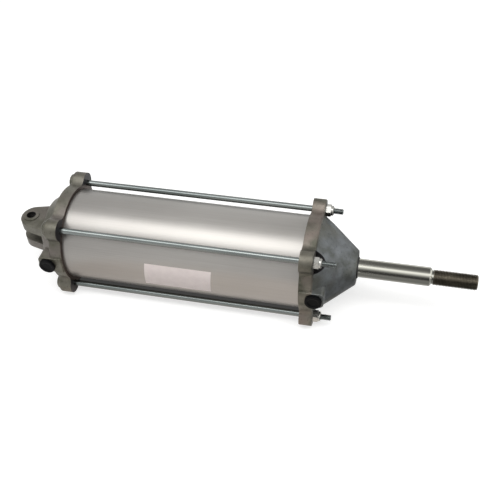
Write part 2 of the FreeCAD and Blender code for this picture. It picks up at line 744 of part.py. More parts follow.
# Rod gland: bushing, U-cup seal, washer and wiper

rodBore = rodRadius + size["running_clearance"]
ring("rod_bushing", rodBore, bushingRadius, 0, size["bushing_length"], frontFace + bushingSeat)

sealWidth = size["rod_seal_width"]
lip = size["rod_seal_lip_thickness"]
lipRoot = size["rod_seal_lip_depth"]
turned("rod_seal", [
    (rodBore, 0),
    (rodBore + lip, 0),
    (rodBore + lip, lipRoot),
    (sealRadius - lip, lipRoot),
    (sealRadius - lip, 0),
    (sealRadius, 0),
    (sealRadius, sealWidth),
    (rodBore, sealWidth),
], frontFace + bushingEnd)

washerInner = rodRadius + size["seal_washer_clearance"]
ring("seal_washer", washerInner, sealRadius, 0, size["seal_washer_thickness"], frontFace + washerPlace)

wiperWidth = size["wiper_width"]
shell = size["wiper_shell_thickness"]
turned("rod_wiper", [
    (washerInner, 0),
    (sealRadius, 0),
    (sealRadius, wiperWidth),
    (sealRadius - shell, wiperWidth),
    (sealRadius - shell * 2, wiperWidth - shell),
    (rodBore + shell, wiperWidth + size["wiper_lip_projection"]),
    (rodBore, wiperWidth + size["wiper_lip_projection"]),
    (rodBore, wiperWidth - shell),
], frontFace + wiperPlace)

# Port plugs

shankRadius = portRadius - size["running_clearance"]
shank = portThreadDepth - size["plug_end_gap"]
plugFlange = portRadius + size["plug_rim"]
rearPort = rearFace - size["rear_port_offset"]
frontPort = frontFace + size["front_port_offset"]
for word, place in (("rear", rearPort), ("front", frontPort)):
    turned(f"{word}_port_plug", [
        (0, 0),
        (shankRadius - size["plug_wall"], 0),
        (shankRadius - size["plug_wall"], -shank),
        (shankRadius, -shank),
        (shankRadius, 0),
        (plugFlange, 0),
        (plugFlange, size["plug_flange_thickness"], size["plug_edge_radius"]),
        (0, size["plug_flange_thickness"]),
    ], place, -portFace, None, outOfPort)

# Piston rod, with the threaded end, the relief behind it and the tenon that holds the piston

clampedLength = size["piston_width"] + size["piston_washer_thickness"] + size["piston_nut_height"]
tenonLength = clampedLength + size["tenon_projection"]
rodLength = rodShoulder - pistonFront
threadTop = rodLength + size["rod_thread_length"]
reliefTop = rodLength + size["rod_relief_width"]
reliefRadius = threadRadius - size["rod_relief_depth"]
turned("piston_rod", [
    (0, -tenonLength),
    (tenonRadius - size["tenon_chamfer"], -tenonLength),
    (tenonRadius, size["tenon_chamfer"] - tenonLength),
    (tenonRadius, 0),
    (rodRadius, 0),
    (rodRadius, rodLength - size["rod_shoulder_chamfer"]),
    (rodRadius - size["rod_shoulder_chamfer"], rodLength),
    (reliefRadius, rodLength),
    (reliefRadius, reliefTop),
    (threadRadius, reliefTop + size["rod_relief_depth"]),
    (threadRadius, threadTop - size["rod_thread_chamfer"]),
    (threadRadius - size["rod_thread_chamfer"], threadTop),
    (0, threadTop),
], pistonFront)

# Piston with two seal grooves, a wear-ring groove between them and an O-ring groove in its bore

pistonRadius = boreRadius - size["piston_clearance"]
side = size["groove_side_clearance"]
sealGroove = size["piston_seal_width"] + side * 2
wearGroove = size["wear_ring_width"] + side * 2
land = (size["piston_width"] - sealGroove * 2 - wearGroove) / 4
sealFloor = boreRadius - size["piston_seal_depth"]
wearFloor = boreRadius - size["wear_ring_depth"]
tenonBore = tenonRadius + size["running_clearance"]
oRingFloor = tenonRadius + size["o_ring_depth"]
oRingGroove = size["o_ring_width"] + side * 2
oRingStart = (size["piston_width"] - oRingGroove) / 2
rearSealPlace = land
wearPlace = land * 2 + sealGroove
frontSealPlace = wearPlace + wearGroove + land
pistonCorners = [(tenonBore, 0), (pistonRadius, 0)]
for floor, start, width in (
    (sealFloor, rearSealPlace, sealGroove),
    (wearFloor, wearPlace, wearGroove),
    (sealFloor, frontSealPlace, sealGroove),
):
    pistonCorners.append((pistonRadius, start))
    pistonCorners.append((floor, start))
    pistonCorners.append((floor, start + width))
    pistonCorners.append((pistonRadius, start + width))
pistonCorners.extend([
    (pistonRadius, size["piston_width"]),
    (tenonBore, size["piston_width"]),
    (tenonBore, oRingStart + oRingGroove),
    (oRingFloor, oRingStart + oRingGroove),
    (oRingFloor, oRingStart),
    (tenonBore, oRingStart),
])
turned("piston", pistonCorners, pistonRear)

sealOuter = boreRadius - size["running_clearance"]
sealInner = sealFloor + size["running_clearance"]
cupWidth = size["piston_seal_width"]
cupLip = size["piston_seal_lip_thickness"]
cupDepth = size["piston_seal_lip_depth"]


# A U-cup that opens towards the face it holds the air from.
def pistonSeal(label, place, opensRear):
    openEnd = 0 if opensRear else cupWidth
    closedEnd = cupWidth if opensRear else 0
    root = cupDepth if opensRear else cupWidth - cupDepth
    turned(label, [
        (sealInner, openEnd),
        (sealInner + cupLip, openEnd),
        (sealInner + cupLip, root),
        (sealOuter - cupLip, root),
        (sealOuter - cupLip, openEnd),
        (sealOuter, openEnd),
        (sealOuter, closedEnd),
        (sealInner, closedEnd),
    ], pistonRear + place + side)


pistonSeal("piston_seal_rear", rearSealPlace, True)
pistonSeal("piston_seal_front", frontSealPlace, False)
wearInner = wearFloor + size["running_clearance"]
ring("piston_wear_ring", wearInner, sealOuter, 0, size["wear_ring_width"], pistonRear + wearPlace + side)
oRingTop = size["o_ring_width"]
ring("piston_o_ring", tenonRadius, oRingFloor, 0, oRingTop, pistonRear + oRingStart + side)

pistonWasherPlace = pistonRear - size["piston_washer_thickness"]
washerOuter = tenonRadius + size["piston_washer_wall"]
ring("piston_washer", tenonBore, washerOuter, 0, size["piston_washer_thickness"], pistonWasherPlace)
nutPlace = pistonWasherPlace - size["piston_nut_height"]
pistonNutHalf = tenonRadius + size["piston_nut_wall"]
pistonNutCorner = pistonNutHalf / math.cos(math.pi / 6)
pistonNut = turned("piston_nut", [
    (tenonBore, 0),
    (pistonNutHalf, 0),
    (pistonNutCorner, chamfer),
    (pistonNutCorner, size["piston_nut_height"]),
    (tenonBore, size["piston_nut_height"]),
], nutPlace)
hexagonCut(pistonNut, pistonNutHalf, -chamfer, size["piston_nut_height"] + chamfer)

# Check every object, then write one STEP file for each piece

doc.recompute()
for item in doc.Objects:
    if "Invalid" in item.State or "Error" in item.State:
        raise ValueError(f"{item.Label} failed: {item.State}")
os.makedirs("parts", exist_ok=True)
for body in subparts:
    if body.Shape.isNull() or not body.Shape.isValid() or len(body.Shape.Solids) != 1:
        raise ValueError(f"{body.Label} has no single valid solid")
for body in subparts:
    body.Shape.exportStep(f"parts/{body.Label}.step")
    box = body.Shape.BoundBox
    print(f"{body.Label}: {body.Shape.Volume:.1f} mm3, x {box.XMin:.2f} to {box.XMax:.2f}")
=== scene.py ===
import math

import bmesh
import bpy
from mathutils import Matrix, Vector


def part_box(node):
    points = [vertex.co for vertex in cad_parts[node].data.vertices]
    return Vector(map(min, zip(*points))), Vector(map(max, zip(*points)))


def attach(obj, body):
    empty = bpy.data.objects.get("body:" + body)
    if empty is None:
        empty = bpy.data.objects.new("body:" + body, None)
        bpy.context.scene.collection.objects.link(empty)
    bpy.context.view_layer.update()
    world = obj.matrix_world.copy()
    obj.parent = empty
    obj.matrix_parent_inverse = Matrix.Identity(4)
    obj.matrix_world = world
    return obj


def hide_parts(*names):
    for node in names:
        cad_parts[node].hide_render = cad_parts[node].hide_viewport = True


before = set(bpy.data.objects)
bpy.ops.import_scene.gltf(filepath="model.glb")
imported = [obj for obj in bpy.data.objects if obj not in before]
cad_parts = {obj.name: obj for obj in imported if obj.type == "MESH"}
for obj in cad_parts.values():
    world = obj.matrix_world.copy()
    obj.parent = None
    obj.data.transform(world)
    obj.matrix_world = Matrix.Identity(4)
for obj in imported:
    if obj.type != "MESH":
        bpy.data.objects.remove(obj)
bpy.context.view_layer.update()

print("frame loaded:", len(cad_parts), "CAD nodes")

# The camera looks down on the cylinder from its rod end. The angles are in degrees, the lens and sensor in mm.
cameraSet = {
    "place": (0.39751, -0.56959, 0.58292),
    "azimuth": 15.3213,
    "elevation": 44.3389,
    "roll": -3.6568,
    "lens": 57.65,
    "sensor": 36.0,
    "clip": (0.01, 20),
}


def addCamera(values):
    turn = math.radians(values["azimuth"])
    rise = math.radians(values["elevation"])
    roll = math.radians(values["roll"])
    level = math.cos(rise)
    back = Vector((math.sin(turn) * level, -math.cos(turn) * level, math.sin(rise)))
    right = (-back).cross(Vector((0, 0, 1))).normalized()
    up = right.cross(-back)
    rolledRight = right * math.cos(roll) + up * math.sin(roll)
    rolledUp = up * math.cos(roll) - right * math.sin(roll)
    data = bpy.data.cameras.new("camera")
    data.lens = values["lens"]
    data.sensor_width = values["sensor"]
    data.clip_start, data.clip_end = values["clip"]
    camera = bpy.data.objects.new("camera", data)
    bpy.context.scene.collection.objects.link(camera)
    matrix = Matrix((rolledRight, rolledUp, back)).transposed().to_4x4()
    matrix.translation = Vector(values["place"])
    camera.matrix_world = matrix
    bpy.context.scene.camera = camera


addCamera(cameraSet)

# From the cylinder's axis to the axis of a tie rod, along Y and along Z
tieOffset = 0.0383


# A material with nodes, its tree and its own shader
def startMaterial(name):
    material = bpy.data.materials.new(name)
    material.use_nodes = True
    tree = material.node_tree
    return material, tree, tree.nodes["Principled BSDF"]


# In "sockets" another node's output is linked, and anything else is set on the socket itself.
def addNode(tree, kind, sockets=None, **settings):
    node = tree.nodes.new(kind)
    for word, value in settings.items():
        setattr(node, word, value)
    for word, value in (sockets or {}).items():
        if isinstance(value, bpy.types.NodeSocket):
            tree.links.new(value, node.inputs[word])
        else:
            node.inputs[word].default_value = value
    return node


def calculate(tree, operation, *values):
    return addNode(tree, "ShaderNodeMath", dict(enumerate(values)), operation=operation).outputs[0]


def objectPlace(tree, scale=(1, 1, 1), shift=(0, 0, 0)):
    coordinates = addNode(tree, "ShaderNodeTexCoord")
    sockets = {"Vector": coordinates.outputs["Object"], "Scale": scale, "Location": shift}
    return addNode(tree, "ShaderNodeMapping", sockets).outputs["Vector"]


def splitPlace(tree, place):
    return addNode(tree, "ShaderNodeSeparateXYZ", {"Vector": place}).outputs


def noise(tree, place, scale, detail=2.0, roughness=0.5):
    sockets = {"Vector": place, "Scale": scale, "Detail": detail, "Roughness": roughness}
    return addNode(tree, "ShaderNodeTexNoise", sockets).outputs["Fac"]


# Stretches a value onto low to high. A noise mostly lies between 0.3 and 0.7.
def spread(tree, value, low, high, fromLow=0.3, fromHigh=0.7):
    sockets = {"Value": value, "From Min": fromLow, "From Max": fromHigh, "To Min": low, "To Max": high}
    return addNode(tree, "ShaderNodeMapRange", sockets).outputs["Result"]


def blendColour(tree, factor, first, second, mode="MIX"):
    node = tree.nodes.new("ShaderNodeMix")
    node.data_type = "RGBA"
    node.blend_type = mode
    for place, value in ((0, factor), (6, first), (7, second)):  # the colour sockets of the Mix node
        socket = node.inputs[place]
        if isinstance(value, bpy.types.NodeSocket):
            tree.links.new(value, socket)
        elif isinstance(value, tuple):
            socket.default_value = (*value, 1)
        else:
            socket.default_value = value
    return node.outputs[2]


def bump(tree, height, distance, strength=1.0, normal=None):
    sockets = {"Height": height, "Distance": distance, "Strength": strength}
    if normal is not None:
        sockets["Normal"] = normal
    return addNode(tree, "ShaderNodeBump", sockets).outputs["Normal"]


def isAbove(tree, value, limit, soft=0.0004):
    return spread(tree, value, 0, 1, limit - soft / 2, limit + soft / 2)


def isBelow(tree, value, limit, soft=0.0004):
    return spread(tree, value, 1, 0, limit - soft / 2, limit + soft / 2)


# As-cast aluminium: a cloudy tone with tinted patches, a fine sand grain and a few darker pits. Shade is
# painted on the face of the rear casting that meets the tube, with a warmer dark joint line close around the
# tube, inside its pin hole and in the nut seats of the front one.
castSet = {
    "rear": {"light": (0.148, 0.141, 0.116), "dark": (0.085, 0.082, 0.062), "tint": (0.153, 0.133, 0.123)},
    "front": {"light": (0.182, 0.17, 0.14), "dark": (0.088, 0.086, 0.066), "tint": (0.215, 0.177, 0.155)},
    "cone": {"light": (0.175, 0.187, 0.196), "dark": (0.088, 0.093, 0.086), "tint": (0.105, 0.106, 0.084)},
    "metallic": 0.7,
    "roughness": (0.37, 0.55),
    "cloud": 70,
    "cloudRange": (0.35, 0.65),
    "patch": 32,
    "patchRange": (0.48, 0.66),
    "patchShift": (0.3, 0.1, 0.2),
    "patchAmount": 0.75,
    "pits": 420,
    "pitRange": (0.28, 0.42),
    "pitTone": 0.72,
    "grain": 1300,
    "grainDepth": 0.00012,
    "swell": 160,
    "swellDepth": 0.0004,
    "edgeRound": 0.0006,
    # The two dark tones below are painted shade on the face that meets the tube, inside the pin hole and in the
    # nut seats. The warmer one is also the dark joint line close around the tube.
    "paintedShade": (0.028, 0.026, 0.028),
    "jointLineAndShade": (0.062, 0.045, 0.036),
    "ringRadius": 0.0517,
    "pinHole": 0.0051,
    "jointFace": 0.05385,
    "coneStart": 0.3138,
    "coneFade": 0.0012,
    "seatRadius": 0.0131,
    "seatStart": 0.314,
}


def castTone(tree, place, tones):
    cloud = spread(tree, noise(tree, place, castSet["cloud"], 4), 0, 1, *castSet["cloudRange"])
    patches = noise(tree, objectPlace(tree, shift=castSet["patchShift"]), castSet["patch"], 2)
    patch = spread(tree, patches, 0, castSet["patchAmount"], *castSet["patchRange"])
    return blendColour(tree, patch, blendColour(tree, cloud, tones["dark"], tones["light"]), tones["tint"])


# The distance from the axis through the origin that the two named axes leave out
def awayFrom(tree, axis, words):
    flat = addNode(tree, "ShaderNodeCombineXYZ", {word: axis[word] for word in words})
    return addNode(tree, "ShaderNodeVectorMath", {0: flat.outputs[0]}, operation="LENGTH").outputs["Value"]


# The nut seats, where shade is painted, found by their distance from the nearest tie rod's axis
def paintedSeatShade(tree, axis):
    sides = {word: calculate(tree, "ABSOLUTE", axis[word]) for word in "YZ"}
    corner = addNode(tree, "ShaderNodeCombineXYZ", sides).outputs[0]
    sockets = {0: corner, 1: (0, tieOffset, tieOffset)}
    away = addNode(tree, "ShaderNodeVectorMath", sockets, operation="DISTANCE").outputs["Value"]
    past = isAbove(tree, axis["X"], castSet["seatStart"], 0.0001)
    return calculate(tree, "MULTIPLY", isBelow(tree, away, castSet["seatRadius"]), past)


# Painted shade on the face that meets the tube, warmer in the ring close around it where the dark joint line
# is, and painted shade inside the pin hole
def paintJointShade(tree, axis, colour):
    # painted shade on the face that meets the tube, warmer where the dark joint line is
    outside = isAbove(tree, awayFrom(tree, axis, "YZ"), castSet["ringRadius"])
    paintedShade = blendColour(tree, outside, castSet["jointLineAndShade"], castSet["paintedShade"])
    colour = blendColour(tree, isAbove(tree, axis["X"], castSet["jointFace"], 0.0002), colour, paintedShade)
    # painted shade inside the pin hole
    outsideHole = isAbove(tree, awayFrom(tree, axis, "XY"), castSet["pinHole"])
    return blendColour(tree, outsideHole, castSet["paintedShade"], colour)


# The cone's own tone in front of the flange, and painted shade in the nut seats
def toneCone(tree, axis, colour, cone):
    fade = castSet["coneFade"]
    inFront = isAbove(tree, axis["X"], castSet["coneStart"] + fade / 2, fade)
    colour = blendColour(tree, inFront, colour, cone)
    # painted shade in the nut seats
    return blendColour(tree, paintedSeatShade(tree, axis), colour, castSet["paintedShade"])


def castMaterial(name, tones, coneTones=None):
    material, tree, shader = startMaterial(name)
    place = objectPlace(tree)
    axis = splitPlace(tree, place)
    colour = castTone(tree, place, tones)
    if coneTones is None:
        colour = paintJointShade(tree, axis, colour)
    else:
        colour = toneCone(tree, axis, colour, castTone(tree, place, coneTones))
    grain = noise(tree, place, castSet["grain"], 3, 0.6)
    pits = spread(tree, noise(tree, place, castSet["pits"], 2), castSet["pitTone"], 1, *castSet["pitRange"])
    tree.links.new(blendColour(tree, 1.0, colour, pits, "MULTIPLY"), shader.inputs["Base Color"])
    tree.links.new(spread(tree, grain, *castSet["roughness"]), shader.inputs["Roughness"])
    shader.inputs["Metallic"].default_value = castSet["metallic"]
    rounded = addNode(tree, "ShaderNodeBevel", {"Radius": castSet["edgeRound"]}, samples=4).outputs["Normal"]
    swell = bump(tree, noise(tree, place, castSet["swell"], 2), castSet["swellDepth"], 0.5, rounded)
    tree.links.new(bump(tree, grain, castSet["grainDepth"], 0.9, swell), shader.inputs["Normal"])
    return material


# Metal drawn along the cylinder: long faint streaks in tone, roughness and height, with their depth in metres.
# Shade is painted in towards the rear end: the tone goes down between two places on the X axis.
metalSet = {
    "satinTube": {
        "light": (0.372, 0.358, 0.34), "dark": (0.328, 0.315, 0.295), "metallic": 0.85, "roughness": 0.36,
        # painted shade towards the rear end of the tube
        "streak": 1100, "paintedRearShade": {"tone": 0.8, "between": (0.05, 0.2)},
    },
    "zincRod": {
        "light": (0.215, 0.232, 0.226), "dark": (0.115, 0.13, 0.127), "metallic": 1.0, "roughness": 0.2,
        "streak": 750, "polish": 0.3,
    },
    "zincNut": {
        "light": (0.52, 0.51, 0.48), "dark": (0.36, 0.36, 0.335), "metallic": 1.0, "roughness": 0.26,
        "streak": 1500, "polish": 0.3,
    },
    "chromedRod": {
        "light": (0.66, 0.655, 0.585), "dark": (0.58, 0.575, 0.505), "metallic": 1.0, "roughness": 0.09,
        "streak": 2400, "depth": 0.000002, "polish": 0.3,
    },
    "darkThread": {
        "light": (0.24, 0.215, 0.165), "dark": (0.09, 0.08, 0.062), "metallic": 0.95, "roughness": 0.3,
        "clouds": 120,
    },
    "turnedAluminium": {
        "light": (0.55, 0.54, 0.52), "dark": (0.45, 0.44, 0.42), "metallic": 0.9, "roughness": 0.3,
    },
    "plainSteel": {
        "light": (0.42, 0.41, 0.39), "dark": (0.3, 0.29, 0.28), "metallic": 1.0, "roughness": 0.3,
    },
    "bronze": {
        "light": (0.42, 0.27, 0.12), "dark": (0.3, 0.18, 0.08), "metallic": 0.95, "roughness": 0.35,
    },
}
streakStretch = (0.012, 1, 1)
cloudStretch = (0.5, 1, 1)


def drawnMetal(
    name, light, dark, metallic, roughness, streak=900, depth=0.000006, clouds=18, polish=0.12, paintedRearShade=None,
):
    material, tree, shader = startMaterial(name)
    streaks = noise(tree, objectPlace(tree, streakStretch), streak, 3, 0.6)
    cloud = noise(tree, objectPlace(tree, cloudStretch), clouds, 3)
    mixed = calculate(tree, "ADD", streaks, cloud)
    colour = blendColour(tree, spread(tree, mixed, 0, 1, 0.75, 1.25), dark, light)
    # painted shade: the tone goes down towards the rear end
    if paintedRearShade is not None:
        fade = spread(tree, splitPlace(tree, objectPlace(tree))["X"], paintedRearShade["tone"], 1, *paintedRearShade["between"])
        colour = blendColour(tree, 1.0, colour, fade, "MULTIPLY")
    tree.links.new(colour, shader.inputs["Base Color"])
    rough = spread(tree, streaks, roughness * (1 - polish), roughness * (1 + polish))
    tree.links.new(rough, shader.inputs["Roughness"])
    tree.links.new(bump(tree, streaks, depth, 0.6), shader.inputs["Normal"])
    shader.inputs["Metallic"].default_value = metallic
    return material


# Plastic, rubber and paper: a faint cloud in tone and a fine grain in roughness and height
mouldedSet = {
    "blackPlastic": {
        "light": (0.003, 0.003, 0.0035), "dark": (0.0015, 0.0015, 0.002), "roughness": 0.5, "specular": 0.07,
    },
    "blackRubber": {
        "light": (0.018, 0.017, 0.016), "dark": (0.01, 0.01, 0.01), "roughness": 0.6, "grain": 2200,
    },
    "nylonCollar": {
        "light": (0.62, 0.61, 0.57), "dark": (0.55, 0.54, 0.5), "roughness": 0.4, "grain": 1800,
    },
    "wearTape": {
        "light": (0.2, 0.13, 0.07), "dark": (0.15, 0.1, 0.055), "roughness": 0.5, "grain": 1800,
    },
    "labelPaper": {
        "light": (0.86, 0.77, 0.745), "dark": (0.8, 0.71, 0.69), "roughness": 0.5, "grain": 2600,
        "depth": 0.00001, "specular": 0.35,
    },
}


def moulded(name, light, dark, roughness, grain=1500, depth=0.00003, clouds=150, polish=0.15, specular=0.5):
    material, tree, shader = startMaterial(name)
    place = objectPlace(tree)
    cloud = noise(tree, place, clouds, 3)
    fine = noise(tree, place, grain, 2)
    tree.links.new(blendColour(tree, spread(tree, cloud, 0, 1), dark, light), shader.inputs["Base Color"])
    rough = spread(tree, fine, roughness * (1 - polish), roughness * (1 + polish))
    tree.links.new(rough, shader.inputs["Roughness"])
    tree.links.new(bump(tree, fine, depth, 0.7), shader.inputs["Normal"])
    shader.inputs["Specular IOR Level"].default_value = specular
    return material


looks = {
    "rearCast": castMaterial("rearCast", castSet["rear"]),
    "frontCast": castMaterial("frontCast", castSet["front"], castSet["cone"]),
}
looks.update({name: drawnMetal(name, **values) for name, values in metalSet.items()})
looks.update({name: moulded(name, **values) for name, values in mouldedSet.items()})
print("materials ready")

# The four tie rods by their side, near or far, and their level, upper or lower
quadrants = {"upper_near": (-1, 1), "upper_far": (1, 1), "lower_near": (-1, -1), "lower_far": (1, -1)}
finishes = {
    "rear_cap": "rearCast",
    "front_cap": "frontCast",
    "barrel_tube": "satinTube",
    "rear_tube_gasket": "blackRubber",
    "front_tube_gasket": "blackRubber",
    "rear_bumper": "blackRubber",
    "front_bumper": "blackRubber",
    "rod_bushing": "bronze",
    "rod_seal": "blackRubber",
    "seal_washer": "plainSteel",
    "rod_wiper": "blackRubber",
    "rear_port_plug": "blackPlastic",
    "front_port_plug": "blackPlastic",
    "piston_rod": "chromedRod",
    "piston": "turnedAluminium",
    "piston_seal_rear": "blackRubber",
    "piston_seal_front": "blackRubber",
    "piston_wear_ring": "wearTape",
    "piston_o_ring": "blackRubber",
    "piston_washer": "plainSteel",
    "piston_nut": "zincNut",
}
for word in quadrants:
    finishes[f"tie_rod_{word}"] = "zincRod"
    finishes[f"lock_nut_{word}"] = "zincNut"
    finishes[f"nut_insert_{word}"] = "nylonCollar"
for nodeName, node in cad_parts.items():
    node.data.materials.clear()
    node.data.materials.append(looks[finishes[nodeName]])
print("CAD nodes painted")


# Makes a shape a finished piece with its look, which rides on a body and stands in for CAD nodes.
def finishPiece(name, shape, look, body, stands=(), angle=32):
    bmesh.ops.remove_doubles(shape, verts=shape.verts, dist=1e-7)
    bmesh.ops.recalc_face_normals(shape, faces=shape.faces)
    for face in shape.faces:
        face.smooth = True
    mesh = bpy.data.meshes.new(name)
    shape.to_mesh(mesh)
    shape.free()
    mesh.set_sharp_from_angle(angle=math.radians(angle))
    mesh.materials.append(looks[look])
    piece = bpy.data.objects.new(name, mesh)
    bpy.context.scene.collection.objects.link(piece)
    even = piece.modifiers.new("evenNormals", "WEIGHTED_NORMAL")
    even.keep_sharp = True
    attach(piece, body)
    if stands:
        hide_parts(*stands)


# Spins a closed outline of (x, radius) about the X axis, then softens its corners.
def spinOutline(outline, steps, soften=0.0, segments=2):
    shape = bmesh.new()
    points = [shape.verts.new((x, 0, radius)) for x, radius in outline]
    edges = [shape.edges.new(pair) for pair in zip(points, points[1:] + points[:1])]
    bmesh.ops.spin(
        shape, geom=points + edges, cent=(0, 0, 0), axis=(1, 0, 0), dvec=(0, 0, 0),
        angle=math.tau, steps=steps, use_merge=True,
    )
    bmesh.ops.remove_doubles(shape, verts=shape.verts, dist=1e-7)
    bmesh.ops.recalc_face_normals(shape, faces=shape.faces)
    if soften:
        corners = [edge for edge in shape.edges if edge.is_manifold and edge.calc_face_angle(0) > 0.5]
        bmesh.ops.bevel(
            shape, geom=corners, offset=soften, offset_type="OFFSET", segments=segments,
            profile=0.5, affect="EDGES", material=-1, clamp_overlap=True,
        )
    return shape


# One pitch of a thread: shares of the pitch and of the depth
threadShape = ((0, 0), (0.1, 0), (0.37, 1), (0.63, 1), (0.9, 0), (1, 0))


# A screw thread as one closed bar: a one-pitch outline is swept along a helix and cut square at both ends,
# and its crests are taken down to a chamfer at the far end.
def threadBar(start, end, major, depth, pitch, steps, chamfer):
    shape = bmesh.new()
    lead = 2  # turns before the start, cut off again below
    points = [shape.verts.new((start - pitch * (lead - u), 0, major - depth * (1 - v))) for u, v in threadShape]
    edges = [shape.edges.new(pair) for pair in zip(points, points[1:])]
    turns = math.ceil((end - start) / pitch) + lead + 1
    bmesh.ops.spin(
        shape, geom=points + edges, cent=(0, 0, 0), axis=(1, 0, 0), dvec=(pitch / steps, 0, 0),
        angle=math.tau * turns, steps=steps * turns, use_merge=False,
    )
    bmesh.ops.remove_doubles(shape, verts=shape.verts, dist=1e-6)
    for place, outwards in ((start, -1), (end, 1)):
        bmesh.ops.bisect_plane(
            shape, geom=shape.verts[:] + shape.edges[:] + shape.faces[:], dist=1e-7, plane_co=(place, 0, 0),
            plane_no=(outwards, 0, 0), clear_outer=True,
        )
    for vert in shape.verts:
        limit = major - max(0.0, vert.co.x - (end - chamfer))
        radius = math.hypot(vert.co.y, vert.co.z)
        if radius > limit:
            vert.co.y *= limit / radius
            vert.co.z *= limit / radius
    rims = [edge for edge in shape.edges if edge.is_boundary]
    bmesh.ops.holes_fill(shape, edges=rims, sides=0)
    return shape


# Adds the second shape to the first.
def joinShapes(first, second):
    carrier = bpy.data.meshes.new("carrier")
    second.to_mesh(carrier)
    second.free()
    first.from_mesh(carrier)
    bpy.data.meshes.remove(carrier)
    return first


# Tube
tubeSet = {"inner": 0.04445, "outer": 0.047625, "chamfer": 0.0004, "steps": 192}
low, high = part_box("barrel_tube")
shape = spinOutline([
    (low.x, tubeSet["inner"]),
    (high.x, tubeSet["inner"]),
    (high.x, tubeSet["outer"]),
    (low.x, tubeSet["outer"]),
], tubeSet["steps"], tubeSet["chamfer"])
finishPiece("tube_shell", shape, "satinTube", "barrel", ["barrel_tube"])
print("tube made")

# Piston rod: a tenon for the piston, the chromed bar, a relief groove and the cut thread
rodSet = {
    "tenon": 0.00635,
    "tenonLength": 0.0406,
    "tenonChamfer": 0.0008,
    "radius": 0.009525,
    "shoulderChamfer": 0.0016,
    "relief": 0.00695,
    "reliefWidth": 0.0019,
    "thread": 0.0079375,
    "threadLength": 0.0448,
    "threadDepth": 0.00086,
    "pitch": 0.001411,
    "overlap": 0.0004,
    "tipChamfer": 0.0013,
    "soften": 0.0002,
    "steps": 96,
    "threadSteps": 40,
}
low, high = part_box("piston_rod")
tenonEnd, shoulder = low.x + rodSet["tenonLength"], high.x - rodSet["threadLength"]
reliefEnd = shoulder + rodSet["reliefWidth"]
shape = spinOutline([
    (low.x, 0),
    (low.x, rodSet["tenon"] - rodSet["tenonChamfer"]),
    (low.x + rodSet["tenonChamfer"], rodSet["tenon"]),
    (tenonEnd, rodSet["tenon"]),
    (tenonEnd, rodSet["radius"]),
    (shoulder - rodSet["shoulderChamfer"], rodSet["radius"]),
    (shoulder, rodSet["radius"] - rodSet["shoulderChamfer"]),
    (shoulder, rodSet["relief"]),
    (reliefEnd + rodSet["overlap"], rodSet["relief"]),
    (reliefEnd + rodSet["overlap"], 0),
], rodSet["steps"], rodSet["soften"])
finishPiece("rod_bar", shape, "chromedRod", "rod", ["piston_rod"])
shape = threadBar(
    reliefEnd, high.x, rodSet["thread"], rodSet["threadDepth"], rodSet["pitch"], rodSet["threadSteps"],
    rodSet["tipChamfer"],
)
finishPiece("rod_thread_cut", shape, "darkThread", "rod")
print("rod made")

# Tie rods: a plain bar with a rolled thread at the nut end
tieSet = {
    "radius": 0.003175,
    "threadStart": 0.3062,
    "threadDepth": 0.00072,
    "pitch": 0.00127,
    "chamfer": 0.0008,
    "overlap": 0.0004,
    "soften": 0.0003,
    "steps": 40,
    "threadSteps": 24,
}


# Takes a shape that was made round the X axis to the place of one tie rod.
def moveToTieRod(shape, x, word):
    side, level = quadrants[word]
    bmesh.ops.translate(shape, verts=shape.verts, vec=(x, side * tieOffset, level * tieOffset))


for word in quadrants:
    low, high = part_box(f"tie_rod_{word}")
    shape = spinOutline([
        (low.x, 0),
        (low.x, tieSet["radius"]),
        (tieSet["threadStart"], tieSet["radius"]),
        (tieSet["threadStart"], 0),
    ], tieSet["steps"], tieSet["soften"])
    thread = threadBar(
        tieSet["threadStart"] - tieSet["overlap"], high.x, tieSet["radius"], tieSet["threadDepth"],
        tieSet["pitch"], tieSet["threadSteps"], tieSet["chamfer"],
    )
    shape = joinShapes(shape, thread)
    moveToTieRod(shape, 0, word)
    finishPiece(f"tie_bar_{word}", shape, "zincRod", "barrel", [f"tie_rod_{word}"])
print("tie rods made")

# Lock nuts: a chamfered hexagon with a rolled collar
nutSet = {
    "halfFlats": 0.00555,
    "bore": 0.003225,
    "boreChamfer": 0.0004,
    "hexHeight": 0.0055,
    "chamfer": 0.0005,
    "steps": 96,
    "collar": 0.0051,
    "collarInner": 0.0044,
    "collarRound": 0.0008,
    "rim": 0.0045,
    "collarSteps": 64,
    "lip": 0.004,
    "height": 0.0079,
    "lipThickness": 0.0004,
    "overlap": 0.0002,
    "soften": 0.00015,
    "turns": {"upper_near": 12, "upper_far": 40, "lower_near": 25, "lower_far": 3},
}


# A spun blank whose rim is drawn in to six flats. The chamfer at both ends goes deeper towards a corner.
def hexBlank(values):
    half, height, bore = values["halfFlats"], values["hexHeight"], values["bore"]
    side = math.pi / 3
    corner = half / math.cos(side / 2)
    shape = spinOutline([
        (0, bore + values["boreChamfer"]),
        (0, half),
        (values["chamfer"], corner),
        (height - values["chamfer"], corner),
        (height, half),
        (height, bore),
        (values["boreChamfer"], bore),
    ], values["steps"])
    for vert in shape.verts:
        radius = math.hypot(vert.co.y, vert.co.z)
        if radius > (half + corner) / 2:
            turn = math.atan2(vert.co.z, vert.co.y)
            reach = half / math.cos(turn % side - side / 2)
            drop = values["chamfer"] * (reach - half) / (corner - half)
            vert.co.y *= reach / radius
            vert.co.z *= reach / radius
            vert.co.x = drop if vert.co.x < height / 2 else height - drop
    return shape


# The collar's foot reaches a little into the hexagon, and its rim is rolled in to a lip.
def nutCollar(values):
    foot, height = values["hexHeight"] - values["overlap"], values["height"]
    inner, underLip = values["collarInner"], values["height"] - values["lipThickness"]
    return spinOutline([
        (foot, inner),
        (foot, values["collar"]),
        (height - values["collarRound"], values["collar"]),
        (height, values["rim"]),
        (height, values["lip"]),
        (underLip, values["lip"]),
        (underLip, inner),
    ], values["collarSteps"], values["soften"])


